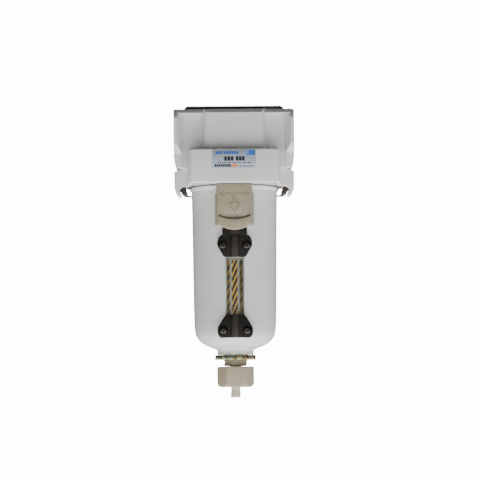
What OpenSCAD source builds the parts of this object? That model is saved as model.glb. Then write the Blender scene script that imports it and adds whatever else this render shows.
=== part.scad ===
// Compressed air filter, modular body with a bayonet bowl. mm, +Z up.
// Origin: tip of the drain nozzle, on the bowl's axis. Ports along X, front towards -Y.

/* [Head] */
// width across the two port faces
body_w = 70; // [60:1:80]
// depth of the skirt, front to back
skirt_d = 62; // [54:1:66]
// height of the port axis
port_z = 150.4; // [146:0.2:156]
// wall radius of the threaded ports
port_r = 9.3; // [8:0.1:9.8]
// depth of the ports
port_len = 15; // [12:0.5:15]
// height of the flat top
top_z = 167.6; // [164:0.2:170]

/* [Bowl] */
// height of the bowl's rim inside the head
rim_z = 136.5; // [134:0.5:136.5]
// inner radius of the bowl
bowl_in = 22.3; // [21.5:0.1:22.5]
// number of bayonet lugs
lugs = 4; // [2:1:4]

/* [Lock button] */
// half of the button's width
btn_w = 11.1; // [9:0.05:11.2]
// height of the button's top
btn_top = 123.1; // [120:0.1:123.1]

/* [Drain] */
// across flats of the knob
knob_af = 19; // [17:0.5:21]
// radius of the drain's threaded neck
neck_r = 7.05; // [6:0.05:7.05]
// pitch of the neck's thread
pitch = 1.25; // [1.25:0.05:1.5]

/* [Hidden] */
$fn = 96;
hw = body_w / 2;
hd = skirt_d / 2;

module tube(r1, r2, z0, z1) {
  rotate_extrude() polygon([[r1, z0], [r2, z0], [r2, z1], [r1, z1]]);
}

module rod(r, z0, z1) {
  translate([0, 0, z0]) cylinder(r = r, h = z1 - z0);
}

module box(a, b) {
  translate(a) cube([b[0] - a[0], b[1] - a[1], b[2] - a[2]]);
}

// polygon in X and Z, from y0 to y1
module slab_y(pts, y0, y1) {
  translate([0, y1, 0]) rotate([90, 0, 0]) linear_extrude(y1 - y0) polygon(pts);
}

// polygon in Y and Z, from x0 to x1
module slab_x(pts, x0, x1) {
  translate([x0, 0, 0]) rotate([90, 0, 90]) linear_extrude(x1 - x0) polygon(pts);
}

// round rod along X
module rod_x(r, x0, x1, z) {
  translate([x0, 0, z]) rotate([0, 90, 0]) cylinder(r = r, h = x1 - x0);
}

// round rod along Y
module rod_y(r, x, z, y0, y1) {
  translate([x, y1, z]) rotate([90, 0, 0]) cylinder(r = r, h = y1 - y0);
}

module ring_o(big, small, z) {
  translate([0, 0, z]) rotate_extrude() translate([big, 0]) circle(r = small, $fn = 32);
}

module rounded(x, y, r) {
  square([2 * x - 2 * r, 2 * y], center = true);
  square([2 * x, 2 * y - 2 * r], center = true);
  for (i = [-1, 1]) for (j = [-1, 1])
    translate([i * (x - r), j * (y - r)]) circle(r = r, $fn = 48);
}

module flange() {
  // face plate round a port, with a bevel towards the middle
  intersection() {
    translate([0, 0, 132]) linear_extrude(40)
      polygon([[hw, 24], [33.2, 24], [30.4, 19.6], [29.4, 18], [25, 17.1], [25, -17.1],
        [29.4, -18], [30.4, -19.6], [33.2, -24], [hw, -24]]);
    slab_x([[-24, 147], [-18.8, 141.8], [-18.8, 133.6], [18.8, 133.6], [18.8, 141.8],
      [24, 147], [24, top_z - 5.5], [18.5, top_z], [-18.5, top_z], [-24, top_z - 5.5]],
      25, 36);
    slab_y([[20, 133.6], [33.9, 133.6], [34.1, 134.6], [34.7, 137.4], [hw, 140.4],
      [hw, top_z], [20, top_z]], -25, 25);
  }
}

module lobe() {
  // side lobe below the flange; its lower outer edge is rounded off
  slab_y([[24, 123.5], [28, 123.2], [30.2, 122.8], [31.6, 121.9], [32, 120.9],
    [31.6, 119.7], [30.8, 118.7], [31.6, 118.1], [32.6, 118.4], [34, 119.6],
    [34.8, 121.4], [hw, 123.4], [hw, 132.2], [31, 132.2], [31, 134], [24, 134]],
    -11.5, 11.5);
}

module head_solid() {
  // skirt and the round collar behind it
  translate([0, 0, 123.4]) linear_extrude(19.9) rounded(26.4, hd, 4);
  rod(30.4, 123.4, 141.5);
  // bulge with a chamfered top
  intersection() {
    translate([0, 0, 140]) linear_extrude(28)
      polygon([[-16, -24], [16, -24], [17.2, -22.6], [19.8, -12], [19.8, 12], [17.2, 22.6],
        [16, 24], [-16, 24], [-17.2, 22.6], [-19.8, 12], [-19.8, -12], [-17.2, -22.6]]);
    slab_x([[-25, 139], [25, 139], [25, 164], [21.4, top_z], [-21.4, top_z], [-25, 164]],
      -20, 20);
  }
  // spine between the flanges
  intersection() {
    slab_x([[-17.5, 133.1], [17.5, 133.1], [17.5, 166], [15.9, top_z], [-15.9, top_z],
      [-17.5, 166]], -34, 34);
    slab_y([[-31.5, 133.1], [31.5, 133.1], [31.5, top_z], [-31.5, top_z]], -18, 18);
  }
  // top slab, chamfered at the front and the back
  slab_x([[-21.5, 164.8], [21.5, 164.8], [21.5, 165.2], [19, top_z], [-19, top_z],
    [-21.5, 165.2]], -33, 33);
  flange();
  mirror([1, 0, 0]) flange();
  lobe();
  mirror([1, 0, 0]) lobe();
}

module head_body() color([0.86, 0.87, 0.86]) difference() {
  head_solid();
  // bore for the bowl's rim, bayonet groove and its ledge
  rod(25.65, 130, 137);
  rod(28, 126.5, 130.6);
  rod(26.9, 117, 127);
  for (i = [0:lugs - 1]) rotate([0, 0, 90 * i]) intersection() {
    tube(26, 28, 123, 127);
    translate([0, 0, 122.9]) linear_extrude(5) polygon([[0, 0], [40, -9.6], [40, 9.6]]);
  }
  // hollow corners of the skirt
  difference() {
    translate([0, 0, 122]) linear_extrude(9) rounded(24.8, hd - 1.6, 2.5);
    rod(29.7, 121, 132);
    box([-11, -32, 120], [11, 32, 133]);
  }
  // chamber over the swirl vanes
  tube(11.3, 20.5, 136.9, 141.5);
  // centre passage to the outlet
  rod(7.5, 136, port_z);
  rod_x(7.5, 0, hw - port_len + 0.1, port_z);
  // inlet passage
  rod_x(7.5, -hw + port_len - 0.1, -13, port_z);
  box([-20, -7, 141], [-13, 7, port_z]);
  // threaded ports with a lead-in
  rod_x(port_r, hw - port_len, hw + 1, port_z);
  rod_x(port_r, -hw - 1, -hw + port_len, port_z);
  for (s = [0, 1]) mirror([s, 0, 0]) translate([hw - 1, 0, port_z]) rotate([0, 90, 0])
    cylinder(r1 = port_r, r2 = port_r + 1.2, h = 1.2);
  // threaded hole for the tie rod
  rod(2.05, port_z, 162);
  // seat of the label
  box([-12.6, -hd - 1, 132.1], [12.6, -hd + 0.25, 142.6]);
}

module top_cap() color([0.1, 0.1, 0.1])
  slab_y([[-28.8, top_z + 0.05], [28.8, top_z + 0.05], [28.8, top_z + 0.6],
    [27.4, top_z + 1.9], [-27.4, top_z + 1.9], [-28.8, top_z + 0.6]], -18.4, 18.4);

module name_label() color([0.6, 0.65, 0.7])
  box([-12.45, -hd - 0.05, 132.2], [12.45, -hd + 0.2, 142.5]);

module side_pad() difference() {
  union() {
    slab_y([[28.1, 122.2], [29.6, 122.4], [30.8, 121.9], [31.4, 120.9], [30.9, 119.9],
      [29.9, 119.1], [28.4, 118.6], [27.2, 118.6], [27.2, 119.3], [27.8, 120.4]],
      -10.6, 11.4);
    // thin lip that follows the bowl at the back
    intersection() {
      tube(27.0, 29.5, 118.6, 119.4);
      box([20, 6, 118], [30, 11.4, 121]);
    }
  }
  rod(27.2, 118, 124);
}

module side_pads() color([0.12, 0.1, 0.08]) {
  side_pad();
  mirror([1, 0, 0]) side_pad();
}

module deflector() color([0.2, 0.2, 0.2]) {
  tube(8.2, 12, 131.4, 136.8);
  tube(11.9, 18.8, 131.4, 132.4);
  for (i = [0:11]) rotate([0, 0, 30 * i]) translate([15.1, 0, 134.3]) rotate([40, 0, 0])
    translate([-3.3, -0.5, -2.5]) cube([6.4, 1, 5]);
}

module filter_element() color([0.93, 0.92, 0.88]) {
  tube(9.2, 15.4, 80.3, 129.7);
  // pleat-like ribs of the sintered cartridge
  for (i = [0:5]) tube(15.3, 15.9, 84 + 8 * i, 87 + 8 * i);
}

module gasket_top() color([0.08, 0.08, 0.08]) tube(9.2, 15.4, 129.75, 131.35);

module gasket_bottom() color([0.08, 0.08, 0.08]) tube(9.2, 15.4, 78.65, 80.25);

module element_baffle() color([0.2, 0.2, 0.2]) {
  tube(2.1, 17.6, 76.6, 78.6);
  tube(16.6, 18.6, 74.5, 81);
  tube(2.1, 8.8, 78.5, 84);
}

module tie_rod() color([0.75, 0.7, 0.5]) {
  rod(2, 72, 161);
  translate([0, 0, 72.5]) cylinder(r = 4.6, h = 4, $fn = 6);
}

module bowl_oring() color([0.06, 0.06, 0.06]) ring_o(24.3, 1.3, 133.35);

module slot_profile(w, z0, z1, y0, y1) {
  // upright slot with round ends
  box([-w, y0, z0 + w], [w, y1, z1 - w]);
  rod_y(w, 0, z0 + w, y0, y1);
  rod_y(w, 0, z1 - w, y0, y1);
}

module bowl_shell() color([0.85, 0.86, 0.85]) difference() {
  union() {
    rotate_extrude() polygon([[neck_r + 0.05, 24.95], [10.65, 24.95], [10.65, 28],
      [14.2, 29.1], [17.2, 30.3], [19.2, 31.5], [20.7, 32.7], [21.6, 33.9], [22.5, 35],
      [23.1, 36.2], [23.7, 38.6], [24, 41], [24.3, 50], [24.6, 78], [24.9, 106],
      [25.15, 117], [25.2, 120.6], [26.1, 121.6], [26.3, 122.2], [26.3, 122.8],
      [24.4, 123], [24.4, 132], [22.95, 132],
      [22.95, 134.7], [24.4, 134.7], [24.4, rim_z], [20.8, rim_z], [20.8, 124],
      [bowl_in, 122], [bowl_in, 41], [21.4, 38], [19.6, 35.4], [17, 33.4], [14.5, 32],
      [neck_r + 0.05, 32]]);
    // inner boss behind the sight glass
    intersection() {
      box([-9.4, -23, 34.5], [9.4, -19.4, 94]);
      rod(23.2, 34, 95);
    }
    // bayonet lugs
    for (i = [0:lugs - 1]) rotate([0, 0, 45 + 90 * i]) intersection() {
      tube(24, 26.6, 127.2, 130);
      translate([0, 0, 127]) linear_extrude(4) polygon([[0, 0], [40, -8.5], [40, 8.5]]);
    }
    // rail that guides the lock button
    box([-4.6, -26.3, 102], [4.6, -23.6, 112]);
    box([-6.2, -27.4, 102], [6.2, -26.2, 112]);
  }
  // pocket for the sight glass and two passages behind it
  slot_profile(5.3, 38.5, 91.5, -30, -21);
  rod_y(1.4, 0, 42, -22, -18);
  rod_y(1.4, 0, 88, -22, -18);
  // holes for the clamp screws
  for (x = [-6.8, 6.8]) for (z = [39, 88]) rod_y(1.5, x, z, -30, -20.2);
}

// bar with three flats towards the front, grown by g
module gauge_bar(g, z0, z1) {
  translate([0, 0, z0]) linear_extrude(z1 - z0)
    polygon([[-4.6 - g, -21.7 + 3 * g], [4.6 + g, -21.7 + 3 * g], [4.6 + g, -24.9],
      [2.2 + g, -26 - g], [-2.2 - g, -26 - g], [-4.6 - g, -24.9]]);
}

module sight_glass() color([0.8, 0.85, 0.85, 0.4]) gauge_bar(0, 41.4, 88.6);

module sight_stripes() color([0.9, 0.75, 0.1]) box([-4.6, -21.6, 46], [4.6, -21.1, 83]);

module sight_seals() color([0.06, 0.06, 0.06])
  for (z = [42, 88]) translate([0, -21.35, z]) rotate([90, 0, 0])
    rotate_extrude() translate([2.6, 0]) circle(r = 0.3, $fn = 24);

module clamp_cut(r) {
  rod(r, 20, 110);
  for (x = [-6.8, 6.8]) for (z = [39, 88]) {
    rod_y(1.55, x, z, -40, -20);
    rod_y(2.45, x, z, -40, -26.1);
  }
  // room for the ends of the glass
  gauge_bar(0.12, 30, 100);
}

module upper_clamp() color([0.06, 0.06, 0.06]) difference() {
  union() {
    slab_y([[-6.2, 81], [6.2, 81], [9.9, 87.6], [10.1, 88.8], [9.7, 91.4], [8.2, 93.6],
      [-8.2, 93.6], [-9.7, 91.4], [-10.1, 88.8], [-9.9, 87.6]], -27, -22);
    box([-7.1, -27, 93.5], [7.1, -22, 98.1]);
    intersection() {
      translate([0, -25, 81]) cylinder(r = 3.5, h = 12.4);
      box([-4, -28.4, 81], [4, -26, 94]);
    }
  }
  clamp_cut(24.95);
}

module lower_clamp() color([0.06, 0.06, 0.06]) difference() {
  union() {
    slab_y([[-5.4, 48], [5.4, 48], [9.7, 41.2], [10.2, 39.4], [10, 36.6], [8.6, 34.8],
      [-8.6, 34.8], [-10, 36.6], [-10.2, 39.4], [-9.7, 41.2]], -27, -21);
    intersection() {
      translate([0, -25, 34.8]) cylinder(r = 3.5, h = 13);
      box([-4, -28.4, 34.8], [4, -26, 47.8]);
    }
  }
  clamp_cut(24.4);
}

module clamp_screws() color([0.2, 0.2, 0.2])
  for (x = [-6.8, 6.8]) for (z = [39, 88]) difference() {
    union() {
      rod_y(1.45, x, z, -27, -20.3);
      rod_y(2.35, x, z, -27.9, -26.2);
    }
    box([x - 1.5, -28, z - 0.3], [x + 1.5, -27.2, z + 0.3]);
    box([x - 0.3, -28, z - 1.5], [x + 0.3, -27.2, z + 1.5]);
  }

// points of a shallow arc that is lowest in the middle
function smile(w, z, rise) = [for (i = [-6:6]) [w * i / 6, z + rise * i * i / 36]];

module lock_button() color([0.64, 0.62, 0.55]) difference() {
  union() {
    difference() {
      union() {
        // body with slanting flanks, narrower above its shoulders
        translate([0, 0, 99.4]) linear_extrude(18.2) polygon([[-btn_w, -23.5],
          [-btn_w, -26.6], [-9.8, -30], [9.8, -30], [btn_w, -26.6], [btn_w, -23.5]]);
        translate([0, 0, 110]) linear_extrude(btn_top - 110) polygon([[-10.3, -23.5],
          [-10.3, -27.4], [-9.6, -30], [9.6, -30], [10.3, -27.4], [10.3, -23.5]]);
      }
      rod(25.4, 90, 130);
      rod(26.6, 120.3, 130);
    }
    // lip with curved edges, standing out from the face
    slab_y(concat(smile(9.3, 96.5, 3.1), [for (i = [6:-1:-6]) [9.3 * i / 6,
      102.7 + 1.9 * i * i / 36]]), -31.2, -27.6);
  }
  // finger scoop over the lip
  intersection() {
    translate([0, -42.2, 101.6]) sphere(r = 13.6);
    slab_y(concat(smile(9.4, 102.7, 1.94), [[9.4, 116], [-9.4, 116]]), -32, -28);
  }
  // slot round the guide rail
  box([-4.68, -26.3, 95], [4.68, -20, 116.2]);
  box([-6.28, -27.5, 95], [6.28, -26.1, 116.2]);
  // room over the block of the clamp
  box([-7.5, -27.6, 95], [7.5, -20, 102.3]);
  // room for the spring
  box([-2.6, -29, 111], [2.6, -24, 119.6]);
}

module lock_spring() color([0.7, 0.7, 0.72])
  translate([0, -27.2, 112.1]) linear_extrude(7.4, twist = -1800, slices = 60, $fn = 6)
    translate([1.35, 0]) circle(r = 0.3, $fn = 6);

module drain_housing() color([0.6, 0.56, 0.48]) difference() {
  union() {
    // threaded neck, its ridges one pitch apart
    rod(neck_r - 0.75, 18.45, 32.6);
    for (i = [0:10]) translate([0, 0, 18.95 + i * pitch]) rotate_extrude()
      polygon([[4.8, -0.5], [neck_r - 0.8, -0.5], [neck_r, -0.12], [neck_r, 0.12],
        [neck_r - 0.8, 0.5], [4.8, 0.5]]);
    tube(4.7, 13, 33.2, 35);
    tube(4.7, 9.5, 32, 33.3);
    // cage round the float
    tube(11.5, 13, 34.9, 64);
  }
  rod(4.7, 10, 40);
  for (i = [0:5]) rotate([0, 0, 60 * i + 30]) box([9, -2.2, 40], [15, 2.2, 58]);
}

module drain_gasket() color([0.06, 0.06, 0.06]) tube(9.6, 12.8, 32.05, 33.15);

module drain_cage_lid() color([0.16, 0.16, 0.16]) {
  tube(3.2, 13, 64.05, 65.8);
  tube(2.4, 3.3, 62, 67);
}

module drain_lock_nut() color([0.62, 0.6, 0.45]) difference() {
  rod(12, 22, 24.9);
  rod(neck_r + 0.1, 20, 26);
  for (i = [0:11]) rotate([0, 0, 30 * i + 15]) box([11.1, -1, 21], [12.8, 1, 25]);
}

module drain_stem() color([0.72, 0.7, 0.65]) difference() {
  rotate_extrude() polygon([[0, 0], [2.5, 0], [2.9, 0.4], [2.9, 2.9], [2.7, 3.1],
    [2.7, 5.9], [2.85, 6], [2.85, 18.2], [4.6, 18.2], [4.6, 25.9], [2.8, 25.9],
    [2.8, 27.9], [4.6, 27.9], [4.6, 30], [3.6, 31], [1.6, 31], [1.6, 46], [0, 46]]);
  rod(1.5, -1, 20.7);
  rod_x(1.2, -6, 6, 19.8);
}

module stem_oring() color([0.06, 0.06, 0.06]) ring_o(3.75, 0.9, 26.9);

module drain_knob() color([0.67, 0.63, 0.56]) difference() {
  intersection() {
    rotate([0, 0, 2]) translate([0, 0, 6.1])
      cylinder(r = knob_af / 2 / cos(30), h = 12, $fn = 6);
    rotate_extrude() polygon([[0, 6.1], [9.2, 6.1], [10.85, 8.1], [10.85, 17.5],
      [10.3, 18.1], [0, 18.1]]);
  }
  rod(2.92, 4, 19);
}

module drain_float() color([0.9, 0.88, 0.8]) difference() {
  rotate_extrude() polygon([[2.2, 36.5], [9.5, 36.5], [11, 38], [11, 55], [9.5, 57],
    [2.2, 57]]);
  rod(2.2, 30, 60);
}

head_body();
top_cap();
name_label();
side_pads();
deflector();
filter_element();
gasket_top();
gasket_bottom();
element_baffle();
tie_rod();
bowl_oring();
bowl_shell();
sight_glass();
sight_stripes();
sight_seals();
upper_clamp();
lower_clamp();
clamp_screws();
lock_button();
lock_spring();
drain_housing();
drain_gasket();
drain_cage_lid();
drain_lock_nut();
drain_stem();
stem_oring();
drain_knob();
drain_float();
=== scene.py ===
import math

import bpy
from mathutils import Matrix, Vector


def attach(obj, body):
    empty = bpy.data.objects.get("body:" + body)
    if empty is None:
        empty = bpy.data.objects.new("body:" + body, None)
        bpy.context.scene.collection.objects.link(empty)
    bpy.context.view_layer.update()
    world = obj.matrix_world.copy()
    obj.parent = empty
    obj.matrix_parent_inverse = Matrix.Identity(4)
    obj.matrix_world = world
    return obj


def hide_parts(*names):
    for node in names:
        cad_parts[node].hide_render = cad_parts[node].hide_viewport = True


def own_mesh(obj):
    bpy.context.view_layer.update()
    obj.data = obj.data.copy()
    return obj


bl_info = {
    "name": "Compressed air filter",
    "version": (1, 0, 0),
    "blender": (4, 5, 0),
    "location": "View3D > Sidebar > Air Filter",
    "description": "Builds the head, bowl, sight gauge, lock button and drain of an air filter",
    "category": "Object",
}

MM = 0.001
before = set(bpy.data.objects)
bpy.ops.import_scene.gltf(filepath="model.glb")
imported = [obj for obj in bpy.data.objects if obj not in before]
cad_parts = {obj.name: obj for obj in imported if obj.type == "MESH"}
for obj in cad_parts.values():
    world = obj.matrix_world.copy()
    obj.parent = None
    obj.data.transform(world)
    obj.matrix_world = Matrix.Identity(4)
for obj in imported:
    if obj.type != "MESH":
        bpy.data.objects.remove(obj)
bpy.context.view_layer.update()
MADE = {}


# ---------------------------------------------------------------- modelling

def deselect():
    bpy.ops.object.select_all(action="DESELECT")


def only(piece):
    deselect()
    piece.select_set(True)
    bpy.context.view_layer.objects.active = piece


def edit(piece):
    only(piece)
    bpy.ops.object.mode_set(mode="EDIT")
    bpy.ops.mesh.select_all(action="SELECT")


def leave_edit():
    bpy.ops.object.mode_set(mode="OBJECT")


def arc(centre_u, centre_v, radius, start, end, steps=8):
    """Points along a circular arc, angles in degrees."""
    turn = [math.radians(start + (end - start) * i / steps) for i in range(steps + 1)]
    return [(centre_u + radius * math.cos(t), centre_v + radius * math.sin(t)) for t in turn]


def rounded_outline(half_u, half_v, radius, steps=8):
    """A rectangle about the origin with round corners."""
    u, v = half_u - radius, half_v - radius
    return (arc(u, v, radius, 0, 90, steps) + arc(-u, v, radius, 90, 180, steps)
            + arc(-u, -v, radius, 180, 270, steps) + arc(u, -v, radius, 270, 360, steps))


def softened_outline(points, radius, steps=4):
    """The outline with each corner replaced by a small curve."""
    result = []
    count = len(points)
    for i, here in enumerate(points):
        before, after = Vector(points[i - 1]), Vector(points[(i + 1) % count])
        corner = Vector(here)
        to_before, to_after = before - corner, after - corner
        reach = min(radius, to_before.length * 0.45, to_after.length * 0.45)
        start = corner + to_before.normalized() * reach
        end = corner + to_after.normalized() * reach
        for k in range(steps + 1):
            t = k / steps
            spot = start * (1 - t) ** 2 + corner * 2 * t * (1 - t) + end * t ** 2
            result.append((spot.x, spot.y))
    return result


def prism(name, outline, axis, start, end):
    """An outline in millimetres, extruded along an axis from start to end."""
    deselect()
    bpy.ops.mesh.primitive_circle_add(vertices=len(outline), radius=MM, fill_type="NGON")
    piece = bpy.context.active_object
    piece.name = name
    place = {"X": lambda u, v: (start, u, v), "Y": lambda u, v: (u, start, v),
             "Z": lambda u, v: (u, v, start)}[axis]
    for corner, (u, v) in zip(piece.data.vertices, outline):
        corner.co = Vector(place(u, v)) * MM
    travel = Vector({"X": (1, 0, 0), "Y": (0, 1, 0), "Z": (0, 0, 1)}[axis]) * (end - start) * MM
    edit(piece)
    bpy.ops.mesh.extrude_region_move(TRANSFORM_OT_translate={"value": travel})
    bpy.ops.mesh.select_all(action="SELECT")
    bpy.ops.mesh.normals_make_consistent(inside=False)
    leave_edit()
    return piece


def lathe(name, profile, steps=96):
    """A closed profile of (radius, height) in millimetres, spun about the vertical axis."""
    deselect()
    bpy.ops.mesh.primitive_circle_add(vertices=len(profile), radius=MM, fill_type="NOTHING")
    piece = bpy.context.active_object
    piece.name = name
    for corner, (radius, height) in zip(piece.data.vertices, profile):
        corner.co = Vector((radius, 0, height)) * MM
    edit(piece)
    bpy.ops.mesh.spin(steps=steps, angle=2 * math.pi, center=(0, 0, 0), axis=(0, 0, 1))
    bpy.ops.mesh.select_all(action="SELECT")
    bpy.ops.mesh.remove_doubles(threshold=2e-6)
    bpy.ops.mesh.delete_loose()
    bpy.ops.mesh.select_all(action="SELECT")
    bpy.ops.mesh.normals_make_consistent(inside=False)
    leave_edit()
    return piece


def block(name, low, high):
    """A cuboid between two corners in millimetres."""
    deselect()
    middle = [(a + b) / 2 * MM for a, b in zip(low, high)]
    size = [(b - a) * MM for a, b in zip(low, high)]
    bpy.ops.mesh.primitive_cube_add(size=1, location=middle)
    piece = bpy.context.active_object
    piece.name = name
    piece.scale = size
    settle(piece)
    return piece


def bar_x(name, radius, start, end, height, steps=64):
    """A round bar along X."""
    return prism(name, arc(0, height, radius, 0, 360 * (1 - 1 / steps), steps - 1), "X", start, end)


def bar_y(name, radius, x, z, start, end, steps=40):
    """A round bar along Y."""
    return prism(name, arc(x, z, radius, 0, 360 * (1 - 1 / steps), steps - 1), "Y", start, end)


def bar_z(name, radius, start, end, x=0, y=0, steps=96):
    """A round bar along Z."""
    return prism(name, arc(x, y, radius, 0, 360 * (1 - 1 / steps), steps - 1), "Z", start, end)


def settle(piece):
    only(piece)
    bpy.ops.object.transform_apply(location=True, rotation=True, scale=True)


def modify(piece, kind, **values):
    """Adds a modifier and applies it."""
    only(piece)
    change = piece.modifiers.new(kind.title(), kind)
    for key, value in values.items():
        setattr(change, key, value)
    bpy.ops.object.modifier_apply(modifier=change.name)
    return piece


def soften(piece, width, segments=3, angle=28, clamp=True):
    """Rounds the edges that turn by more than the angle."""
    return modify(piece, "BEVEL", width=width * MM, segments=segments, limit_method="ANGLE",
                  angle_limit=math.radians(angle), use_clamp_overlap=clamp)


def combine(piece, tool, how):
    modify(piece, "BOOLEAN", object=tool, operation=how, solver="EXACT")
    bpy.data.objects.remove(tool)
    return piece


def add(piece, tool):
    return combine(piece, tool, "UNION")


def cut(piece, tool):
    return combine(piece, tool, "DIFFERENCE")


def common(piece, tool):
    return combine(piece, tool, "INTERSECT")


def copy_turned(piece, name, degrees=0, flip_x=False, shift=(0, 0, 0)):
    """A copy with its own mesh, turned about the bowl's axis or mirrored left to right."""
    twin = piece.copy()
    twin.data = piece.data.copy()
    twin.name = name
    bpy.context.collection.objects.link(twin)
    twin.location = Vector(shift) * MM
    twin.rotation_euler = (0, 0, math.radians(degrees))
    if flip_x:
        twin.scale = (-1, 1, 1)
    settle(twin)
    if flip_x:
        edit(twin)
        bpy.ops.mesh.normals_make_consistent(inside=False)
        leave_edit()
    return twin


def join(piece, others):
    only(piece)
    for other in others:
        other.select_set(True)
    bpy.ops.object.join()
    return piece


def coil(name, section, centre, height, turn_height, turns, start_z, steps=40):
    """A closed section of (radius, height) wound up about a vertical axis."""
    deselect()
    bpy.ops.mesh.primitive_circle_add(vertices=len(section), radius=MM, fill_type="NOTHING")
    piece = bpy.context.active_object
    piece.name = name
    for corner, (radius, up) in zip(piece.data.vertices, section):
        corner.co = Vector((radius, 0, up + start_z)) * MM
    modify(piece, "SCREW", axis="Z", angle=2 * math.pi * turns, screw_offset=turn_height * turns * MM,
           steps=int(steps * turns), render_steps=int(steps * turns), use_merge_vertices=False)
    edit(piece)
    bpy.ops.mesh.select_all(action="DESELECT")
    bpy.ops.mesh.select_non_manifold()
    bpy.ops.mesh.edge_face_add()
    bpy.ops.mesh.select_all(action="SELECT")
    bpy.ops.mesh.normals_make_consistent(inside=False)
    leave_edit()
    piece.location = Vector((centre[0], centre[1], 0)) * MM
    settle(piece)
    return piece


def show(piece, body, finish, stands_for=(), smooth=32):
    """Gives a new piece its finish and its body."""
    only(piece)
    bpy.ops.object.shade_smooth_by_angle(angle=math.radians(smooth))
    piece.data.materials.clear()
    piece.data.materials.append(MADE[finish])
    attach(piece, body)
    if stands_for:
        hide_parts(*stands_for)
    return piece


def dress(node, finish):
    """Gives a CAD node its finish."""
    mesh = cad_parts[node].data
    mesh.materials.clear()
    mesh.materials.append(MADE[finish])


# ---------------------------------------------------------------- finishes

def start_finish(name):
    finish = bpy.data.materials.new(name)
    finish.use_nodes = True
    MADE[name] = finish
    return finish, finish.node_tree, finish.node_tree.nodes["Principled BSDF"]


def place_node(tree, kind, inputs=None, **values):
    made = tree.nodes.new(kind)
    for key, value in values.items():
        setattr(made, key, value)
    for key, value in (inputs or {}).items():
        if hasattr(value, "is_output"):
            tree.links.new(value, made.inputs[key])
        else:
            made.inputs[key].default_value = value
    return made


def noise(tree, size_mm, detail=3.0, roughness=0.5, stretch=None):
    where = place_node(tree, "ShaderNodeTexCoord").outputs["Object"]
    if stretch:
        where = place_node(tree, "ShaderNodeMapping", {"Vector": where, "Scale": stretch}).outputs[0]
    return place_node(tree, "ShaderNodeTexNoise", {
        "Vector": where, "Scale": 1 / (size_mm * MM), "Detail": detail, "Roughness": roughness})


def tint(tree, factor, colours):
    """A colour ramp through (position, colour) stops."""
    ramp = place_node(tree, "ShaderNodeValToRGB", {"Fac": factor})
    stops = ramp.color_ramp.elements
    while len(stops) > 2:
        stops.remove(stops[-1])
    for i, (position, colour) in enumerate(colours):
        stop = stops[i] if i < 2 else stops.new(position)
        stop.position = position
        stop.color = (*colour, 1)
    return ramp.outputs["Color"]


def spread(tree, factor, low, high, start=0.3, end=0.7):
    return place_node(tree, "ShaderNodeMapRange", {
        "Value": factor, "From Min": start, "From Max": end, "To Min": low, "To Max": high}).outputs[0]


def surface(name, colour, partner, patch_mm, grain_mm, grain_depth_mm, rough, metallic=0.0, coat=0.0,
            grain_detail=2.0, stretch=None, specular=0.5):
    """Colour that drifts between two tones, with a fine raised grain."""
    finish, tree, shader = start_finish(name)
    patches = noise(tree, patch_mm, 4.0, 0.6, stretch)
    fine = noise(tree, grain_mm, grain_detail, 0.55, stretch)
    tree.links.new(tint(tree, patches.outputs["Fac"], [(0.32, colour), (0.68, partner)]),
                   shader.inputs["Base Color"])
    tree.links.new(spread(tree, fine.outputs["Fac"], *rough), shader.inputs["Roughness"])
    bump = place_node(tree, "ShaderNodeBump", {
        "Strength": 1.0, "Distance": grain_depth_mm * MM, "Height": fine.outputs["Fac"]})
    tree.links.new(bump.outputs[0], shader.inputs["Normal"])
    shader.inputs["Metallic"].default_value = metallic
    shader.inputs["Coat Weight"].default_value = coat
    shader.inputs["Coat Roughness"].default_value = 0.15
    shader.inputs["Specular IOR Level"].default_value = specular
    return finish


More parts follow.
